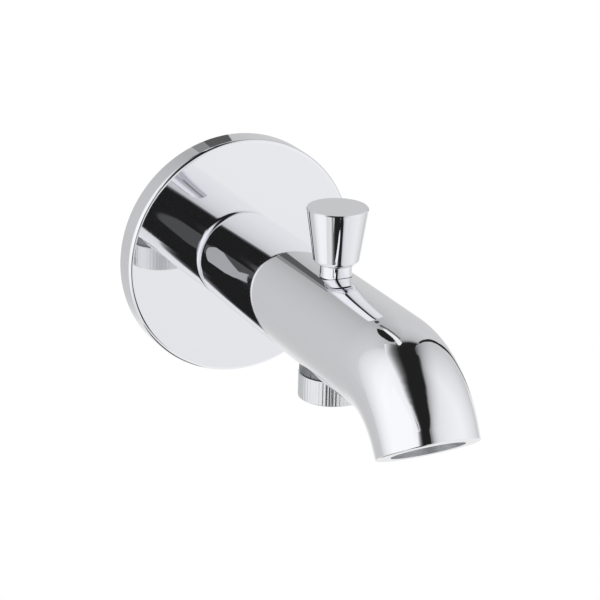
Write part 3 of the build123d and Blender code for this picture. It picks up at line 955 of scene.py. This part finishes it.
seals = ("rose_gasket", "rose_seal", "inlet_seal", "bush_seal", "stem_seal", "connector_seal", "aerator_seal")
washers = ("bath_washer", "shower_washer")
kept_nodes = {name: rubber for name in seals + washers}
kept_nodes.update({name: valve_brass for name in ("diverter_stem", "valve_disc", "stem_nut")})
kept_nodes.update({"aerator_insert": plastic, "aerator_screen": strainer})
for name, coat in kept_nodes.items():
    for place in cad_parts[name].material_slots:
        place.material = coat
print(len(new_pieces), "new pieces,", len(kept_nodes), "solids kept")

# %% [markdown]
# The polishing wheel does not reach into the outlet or the corner above the knurled head, so the plating
# stays dull there. The boss in that corner is also painted dark grey, as painted shade between tube and
# head. A mask in the chrome could show that, but the borders follow edges of the casting. So the body gets
# two more finishes, and the faces of the recess and of the boss are picked by their place and assigned to
# them.

# %% Dull plating in the outlet, painted shade on the boss
NEAR = 0.02  # mm around a region that still counts as part of it


def in_outlet(co):
    """Whether a place lies inside the outlet's bore, seen along the outlet's axis."""
    height = (co - OUTLET).dot(OUTLET_UP) / MM
    aside = (co - OUTLET - OUTLET_UP * (height * MM)).length / MM
    return aside < RECESS_R + NEAR and -NEAR < height < AERATOR_DEPTH + CAST_WALL + NEAR


def on_boss(co):
    """Whether a place lies on the flared boss above the knurled head."""
    aside, height = math.hypot(co.x, co.y - KNOB_AXIS.y) / MM, co.z / MM
    return BOSS_R - NEAR < aside < flare_end_r + NEAR and boss_end - NEAR < height < flare_end_z + NEAR


alone(body)
# The outlet gets dull plating; the boss gets dull plating with painted shade.
for coat, test in ((dull_chrome, in_outlet), (painted_shade_chrome, on_boss)):
    body.data.materials.append(coat)
    body.active_material_index = len(body.data.materials) - 1
    mode("EDIT")
    print(coat.name, pick(test), "corners")
    bpy.ops.object.material_slot_assign()
    mode("OBJECT")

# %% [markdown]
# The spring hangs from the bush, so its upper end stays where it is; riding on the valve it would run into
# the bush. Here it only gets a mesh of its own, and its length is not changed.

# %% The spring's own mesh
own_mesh(spring)

# %% [markdown]
# ## Studio
# Chrome looks like what stands round it, so the studio is read back from the reflections in the
# photograph: a bright wall of cloth on the left, a softer one on the right, a grey wall behind with a
# paler foot, a black gap round the camera and darkness above. Lamps would show in the metal as hard
# shapes, while a card with two ramps can fade as cloth does. The cards light the spout and show in the
# metal, but not in the picture itself.

# %% Light that changes across a card
FLOOR_Z = -1.8
CARD_AT = 2.0
STUDIO_AIM = Vector((0, -0.09, 0))
scene.view_settings.view_transform = "Standard"


def ramp(nodes, stops):
    """A grey ramp whose stops are (place, brightness)."""
    made = nodes.new("ShaderNodeValToRGB")
    elements = made.color_ramp.elements
    while len(elements) < len(stops):
        elements.new(0.5)
    for element, (place, level) in zip(elements, stops):
        element.position = place
        element.color = (level, level, level, 1)
    return made


def light_material(name):
    """A material with a light as its surface; returns its nodes, links and light too."""
    made, nodes, links = material(name)
    nodes.remove(nodes["Principled BSDF"])
    return made, nodes, links, nodes.new("ShaderNodeEmission")


def glow(name, across, upward):
    """A light whose brightness is the product of one ramp across the card and one up the card."""
    made, nodes, links, light = light_material(name)
    place = nodes.new("ShaderNodeTexCoord")
    parts = nodes.new("ShaderNodeSeparateXYZ")
    both = add(nodes, "ShaderNodeMath", operation="MULTIPLY")
    for axis, stops, socket in (("X", across, 0), ("Y", upward, 1)):
        shade = ramp(nodes, stops)
        join(links, (parts, axis, shade, "Fac"), (shade, "Color", both, socket))
    join(
        links,
        (place, "UV", parts, "Vector"),
        (both, "Value", light, "Strength"),
        (light, "Emission", nodes["Material Output"], "Surface"),
    )
    return made


def stage_card(card, coat):
    """Gives a card its light and hides it from the camera, so that only the metal shows it."""
    card.data.materials.append(coat)
    card.visible_camera = False


def heading(degrees, rise=0.0):
    """The direction at an angle from straight ahead of the spout, to its right, and at a rise."""
    turned, raised = math.radians(degrees), math.radians(rise)
    level = math.cos(raised)
    return Vector((math.sin(turned) * level, -math.cos(turned) * level, math.sin(raised)))


def rows(low, high, stops):
    """Turns places on a line from low to high into places from 0 to 1."""
    return [((place - low) / (high - low), level) for place, level in stops]


def wall(name, facing, first, last, top, across, upward, low=FLOOR_Z):
    """An upright card from the heading first to last and the height low to top. Stops across it and up it
    are distances from the point ahead at facing, over the card's own distance."""
    left = math.tan(math.radians(first - facing))
    right = math.tan(math.radians(last - facing))
    foot = STUDIO_AIM + heading(facing) * CARD_AT
    bpy.ops.object.select_all(action="DESELECT")
    bpy.ops.mesh.primitive_plane_add(size=1, rotation=(QUARTER, 0, math.radians(facing)))
    card = named(name)
    card.scale = ((right - left) * CARD_AT, top - low, 1)
    card.location = foot + heading(facing + 90) * (CARD_AT * (left + right) / 2) + UP * ((top + low) / 2)
    across = rows(left, right, across)
    upward = rows(low / CARD_AT, top / CARD_AT, upward)
    stage_card(card, glow(name, across, upward))
    print(name, [round(x, 2) for x in card.scale[:2]], "m")


# %% Walls of light
BACK_SEAM = -0.5
LOW = FLOOR_Z / CARD_AT
SEAM = BACK_SEAM / CARD_AT
left_u = ((-0.32, 0.68), (-0.25, 0.75), (-0.12, 0.84), (0.0, 0.92), (0.2, 0.99), (7.1, 1.0))
left_v = (
    (LOW, 1.0), (0.3, 1.12), (1.5, 1.0), (1.66, 0.75), (1.82, 0.26),
    (2.3, 0.15), (2.8, 0.087), (3.5, 0.045), (4.6, 0.017),
)
wall("left_cloth", facing=-115, first=-133, last=-33, top=10.0, across=left_u, upward=left_v)
right_u = (
    (-8.0, 0.40), (-4.0, 0.70), (-2.6, 0.82), (-1.0, 0.92),
    (0.0, 0.98), (0.5, 0.85), (0.84, 0.76), (1.3, 0.64),
)
right_v = (
    (LOW, 0.9), (-0.36, 1.0), (0.4, 1.03), (1.3, 0.95), (2.2, 0.74),
    (2.8, 0.6), (3.5, 0.44), (4.5, 0.24), (6.0, 0.017),
)
wall("right_cloth", facing=65, first=-20.5, last=124, top=12.0, across=right_u, upward=right_v)
back_u = ((-1.5, 0.68), (-0.6, 0.66), (-0.2, 0.54), (0.0, 0.47), (0.3, 0.57), (0.6, 0.63), (1.07, 0.70))
back_v = ((SEAM, 1.0), (1.2, 1.0), (2.2, 0.85), (2.7, 0.7), (3.2, 0.03))
wall("back_wall", facing=180, first=120, last=227, top=6.8, across=back_u, upward=back_v, low=BACK_SEAM)
foot_u = (
    (-1.5, 0.88), (-0.6, 0.86), (-0.2, 0.84), (-0.1, 0.80),
    (0.07, 0.68), (0.2, 0.635), (0.42, 0.62), (1.07, 0.66),
)
foot_v = ((LOW, 1.0), (SEAM, 1.0))
wall("back_foot", facing=180, first=120, last=227, top=BACK_SEAM, across=foot_u, upward=foot_v)

# %% [markdown]
# The black gap round the camera is nearer than the cloths, and its edges are not straight: it is narrow
# level with the spout, opens up and down, and goes on overhead as a black lane between two lights. A
# plain card has straight edges, so a grid of three columns takes that outline, row by row; its upper rows
# are folded back over the spout.

# %% Gap round the camera
GAP_FACING = -34
GAP_AT = 0.462
ROOF_Z = 0.8
EVEN = ((0, 1), (1, 1))
gap_upright = (  # height, and the places of the three columns, in metres
    (-0.60, -0.16, 0.00, 0.47), (-0.38, -0.16, 0.00, 0.29), (-0.30, -0.16, 0.00, 0.19),
    (-0.25, -0.13, -0.02, 0.122), (0.00, -0.09, -0.06, 0.12), (0.12, -0.08, -0.04, 0.14),
    (0.17, -0.046, 0.01, 0.15), (0.20, -0.014, 0.025, 0.155), (0.235, -0.026, 0.013, 0.165),
    (0.275, -0.059, -0.004, 0.185), (0.32, -0.092, -0.022, 0.205), (0.37, -0.131, -0.048, 0.225),
    (0.425, -0.20, -0.068, 0.238), (0.50, -0.258, -0.086, 0.247), (0.60, -0.321, -0.126, 0.265),
    (ROOF_Z, -0.45, -0.19, 0.32),
)
gap_roof = (  # distance, and the places of the three columns
    (0.33, -0.478, -0.166, 0.31), (0.15, -0.527, -0.191, 0.257), (0.06, -0.549, -0.207, 0.243),
    (-0.05, -0.50, -0.20, 0.237), (-0.12, -0.47, -0.15, 0.225),
)
gap_rows = [(GAP_AT, *row) for row in gap_upright] + [(away, ROOF_Z, *edges) for away, *edges in gap_roof]
gap_u = (
    (0, 0.95), (0.06, 0.8), (0.13, 0.62), (0.2, 0.44), (0.28, 0.25), (0.38, 0.12), (0.5, 0.03), (0.55, 0.017),
    (0.93, 0.017), (0.965, 0.10), (1.0, 0.38),
)
bpy.ops.object.select_all(action="DESELECT")
bpy.ops.mesh.primitive_grid_add(
    x_subdivisions=2,
    y_subdivisions=len(gap_rows) - 1,
    size=1,
    location=STUDIO_AIM + heading(GAP_FACING) * GAP_AT,
    rotation=(QUARTER, 0, math.radians(GAP_FACING)),
)
gap = named("camera_gap")
for vertex in gap.data.vertices:
    column, row = vertex.co.x + 0.5, vertex.co.y + 0.5  # both from 0 to 1
    away, height, *edges = gap_rows[round(row * (len(gap_rows) - 1))]
    vertex.co = (edges[round(column * (len(edges) - 1))], height, away - GAP_AT)
stage_card(gap, glow("camera_gap", gap_u, EVEN))
print("gap", len(gap_rows), "rows")

# %% [markdown]
# Small things in the room show as marks in the metal. Whole objects could stand there, but the curved
# metal shows little more than their outlines. So each is a flat outline that glows evenly, and some show
# one side only, so that one piece of the spout mirrors them and its neighbour does not.

# %% A mark in the reflections
MARK_AT = 1.9


def toward(places, distance=MARK_AT):
    """Points at one distance from the spout, for directions given as (heading, rise)."""
    return [STUDIO_AIM + heading(*place) * distance for place in places]


def mark(name, points, level, one_side=None):
    """A flat light or shade with the given corners; one_side points to the only side it shows."""
    shape = chain(name, points)
    pick_all()
    bpy.ops.mesh.edge_face_add()
    paint, nodes, links, light = light_material(name)
    light.inputs["Strength"].default_value = level
    shown = (light, "Emission")
    mode("OBJECT")
    if one_side:
        if shape.data.polygons[0].normal.dot(one_side) < 0:
            mode("EDIT")
            bpy.ops.mesh.flip_normals()
            mode("OBJECT")
        side = nodes.new("ShaderNodeNewGeometry")
        clear = nodes.new("ShaderNodeBsdfTransparent")
        either = nodes.new("ShaderNodeMixShader")
        join(links, (side, "Backfacing", either, "Fac"), (*shown, either, 1), (clear, "BSDF", either, 2))
        shown = (either, "Shader")
    join(links, (*shown, nodes["Material Output"], "Surface"))
    stage_card(shape, paint)
    print(name, len(points), "corners, level", level)


# %% [markdown]
# Above and behind hangs a dark lamp head with its bright tube, its edge and its foot. A holder shows
# close behind the wall plane, and a cable runs down on the right.

# %% Lamp, holder and cable
CABLE_AT = 1.5
CABLE_HALF = 1.3
HOLDER_Y = 0.05
HOLDER_LOW = 0.055
HOLDER_TOP = 0.108
HOLDER_PARTS = ((-0.002, 0.018, 0.11), (-0.013, -0.002, 0.28))  # from, to and level
lamp_head = (
    (190.4, 47.2), (188.6, 50), (187, 54), (187.9, 60.3), (187.8, 64.2), (189.4, 69.5),
    (201.8, 67.3), (206.5, 63.9), (206, 59), (204, 54.3), (200.2, 50.7), (196, 48.9),
)
mark("lamp_head", toward(lamp_head), level=0.017)
lamp_tube = (
    (184, 51.5), (180.7, 53.3), (179.3, 59.5), (174.4, 65), (169, 73),
    (185, 74.9), (195.8, 73.8), (191.5, 69.9), (187.5, 64.6), (186.6, 56.3),
)
mark("lamp_tube", toward(lamp_tube), level=0.95)
lamp_edge = (
    (182, 46.2), (178, 46.7), (177, 51.4), (173.2, 58.2), (170.3, 62.9), (164.5, 68),
    (168.8, 69.2), (175.4, 64.5), (177.3, 59.5), (181, 52.7), (183, 48.6),
)
mark("lamp_edge", toward(lamp_edge), level=0.15)
lamp_foot = ((177.3, 38.5), (174, 41), (175.6, 43.3), (181.2, 42.9), (180.5, 40.6))
mark("lamp_foot", toward(lamp_foot), level=0.06)
for number, (first, last, level) in enumerate(HOLDER_PARTS):
    corners = (first, HOLDER_LOW), (last, HOLDER_LOW), (last, HOLDER_TOP), (first, HOLDER_TOP)
    mark(f"holder_{number}", [Vector((x, HOLDER_Y, z)) for x, z in corners], level)
cable = (
    (119.5, 57), (120, 40), (121.5, 25), (123, 14), (125.5, 6),
    (128, -1), (129.5, -6), (132, -11), (137, -17),
)
for number, (upper, lower) in enumerate(zip(cable, cable[1:])):
    left = [(turned + CABLE_HALF, rise) for turned, rise in (upper, lower)]
    right = [(turned - CABLE_HALF, rise) for turned, rise in (lower, upper)]
    mark(f"cable_{number}", toward(left + right, CABLE_AT), level=0.02)

# %% [markdown]
# A dim patch lies in the black gap. A pale patch next to the rose faces it, so that the tube shows the
# patch by way of the rose and not directly. A white card on the left faces the knob and splits its dark
# stripe.

# %% Patches and white card
DIM_AHEAD = 0.007
DIM_PATCH = ((-0.04, -0.04), (-0.02, -0.06), (0.0, -0.03), (0.0, 0.10), (-0.02, 0.13), (-0.04, 0.10))
dim_middle = STUDIO_AIM + heading(GAP_FACING) * (GAP_AT - DIM_AHEAD)
dim_across = heading(GAP_FACING + 90)
mark("dim_patch", [dim_middle + dim_across * u + UP * z for u, z in DIM_PATCH], level=0.09)
PALE_Y = -0.05
PALE_PATCH = (
    (-0.0411, 0.0014), (-0.0405, 0.0108), (-0.0414, 0.0177), (-0.0454, 0.0197),
    (-0.0531, 0.0141), (-0.0585, 0.0103), (-0.0617, 0.0197), (-0.0649, 0.0019),
    (-0.0612, -0.0014), (-0.0564, -0.0063), (-0.0514, -0.0088), (-0.0418, -0.0073),
)
mark("pale_patch", [Vector((x, PALE_Y, z)) for x, z in PALE_PATCH], level=0.48, one_side=-FORWARD)
WHITE_NEAR = Vector((-0.0572, -0.156, 0))
WHITE_FAR = Vector((-0.0764, -0.215, 0))
white_low = UP * -0.02
white_top = UP * 0.04
white_edge = [WHITE_NEAR + white_low, WHITE_FAR + white_low, WHITE_FAR + white_top, WHITE_NEAR + white_top]
mark("white_card", white_edge, level=1.09, one_side=SIDE)

# %% [markdown]
# The floor is far below, since a near one would fill every face that looks down. The camera sees it and
# the world as plain white; the metal sees a floor that is brighter on the right, with a patch of painted
# shade under the spout. A dark ceiling closes the room, so that no white world shows over the walls.

# %% Rays that show the background
def background_ray(nodes, links):
    """One for rays from the camera, a mirror or glass, and nought for the light on dull surfaces."""
    path = nodes.new("ShaderNodeLightPath")
    mirrored = add(nodes, "ShaderNodeMath", operation="MAXIMUM")
    either = add(nodes, "ShaderNodeMath", operation="MAXIMUM")
    join(
        links,
        (path, "Is Glossy Ray", mirrored, 0),
        (path, "Is Transmission Ray", mirrored, 1),
        (path, "Is Camera Ray", either, 0),
        (mirrored, "Value", either, 1),
    )
    return either


# %% Floor
ROOM_HALF = 20
BRIGHT_LEFT = (-2.5, 0.8)  # place across the floor and its level
BRIGHT_RIGHT = (0.5, 0.97)
# The patch is painted shade on the floor under the spout, seen only by the metal.
PATCH_AT = (-0.45, 0.29, 0)
PATCH_R = 0.77
PATCH_SOFT_R = 0.85 * PATCH_R
PATCH_LEVEL = 0.08
bpy.ops.object.select_all(action="DESELECT")
bpy.ops.mesh.primitive_plane_add(size=2 * ROOM_HALF, location=(0, 0, FLOOR_Z))
floor = named("floor")
floor_white, nodes, links, light = light_material("floor_white")
path = nodes.new("ShaderNodeLightPath")
place = nodes.new("ShaderNodeTexCoord")
parts = nodes.new("ShaderNodeSeparateXYZ")
level = map_range(nodes, BRIGHT_LEFT, BRIGHT_RIGHT)
patch = add(nodes, "ShaderNodeVectorMath", {1: PATCH_AT}, operation="DISTANCE")
shade = map_range(nodes, (PATCH_SOFT_R, PATCH_LEVEL), (PATCH_R, 1))
shaded = add(nodes, "ShaderNodeMath", operation="MULTIPLY")
seen = add(nodes, "ShaderNodeMix", {"B": 1.0})
matt = add(nodes, "ShaderNodeBsdfDiffuse", {"Color": (0.85, 0.85, 0.86, 1)})
mix = nodes.new("ShaderNodeMixShader")
join(
    links,
    (place, "Object", parts, "Vector"),
    (parts, "X", level, "Value"),
    (place, "Object", patch, 0),
    (patch, "Value", shade, "Value"),
    (level, "Result", shaded, 0),
    (shade, "Result", shaded, 1),
    (shaded, "Value", seen, "A"),
    (path, "Is Camera Ray", seen, "Factor"),
    (seen, "Result", light, "Strength"),
    (background_ray(nodes, links), "Value", mix, "Fac"),
    (matt, "BSDF", mix, 1),
    (light, "Emission", mix, 2),
    (mix, "Shader", nodes["Material Output"], "Surface"),
)
floor.data.materials.append(floor_white)
print("floor", -FLOOR_Z, "m below the spout's axis")

# %% Ceiling and world
CEILING_Z = 12.1
DARK = 0.018
ceiling = ((-1, -1), (1, -1), (1, 1), (-1, 1))
mark("ceiling", [Vector((x * ROOM_HALF, y * ROOM_HALF, CEILING_Z)) for x, y in ceiling], level=DARK)
world = bpy.data.worlds.new("studio")
scene.world = world
world.use_nodes = True
nodes, links = world.node_tree.nodes, world.node_tree.links
sky = map_range(nodes, (0, DARK), (1, 1))
background = nodes["Background"]
background.inputs["Color"].default_value = (1, 1, 1, 1)
join(links, (background_ray(nodes, links), "Value", sky, "Value"), (sky, "Result", background, "Strength"))
print("world", world.name)
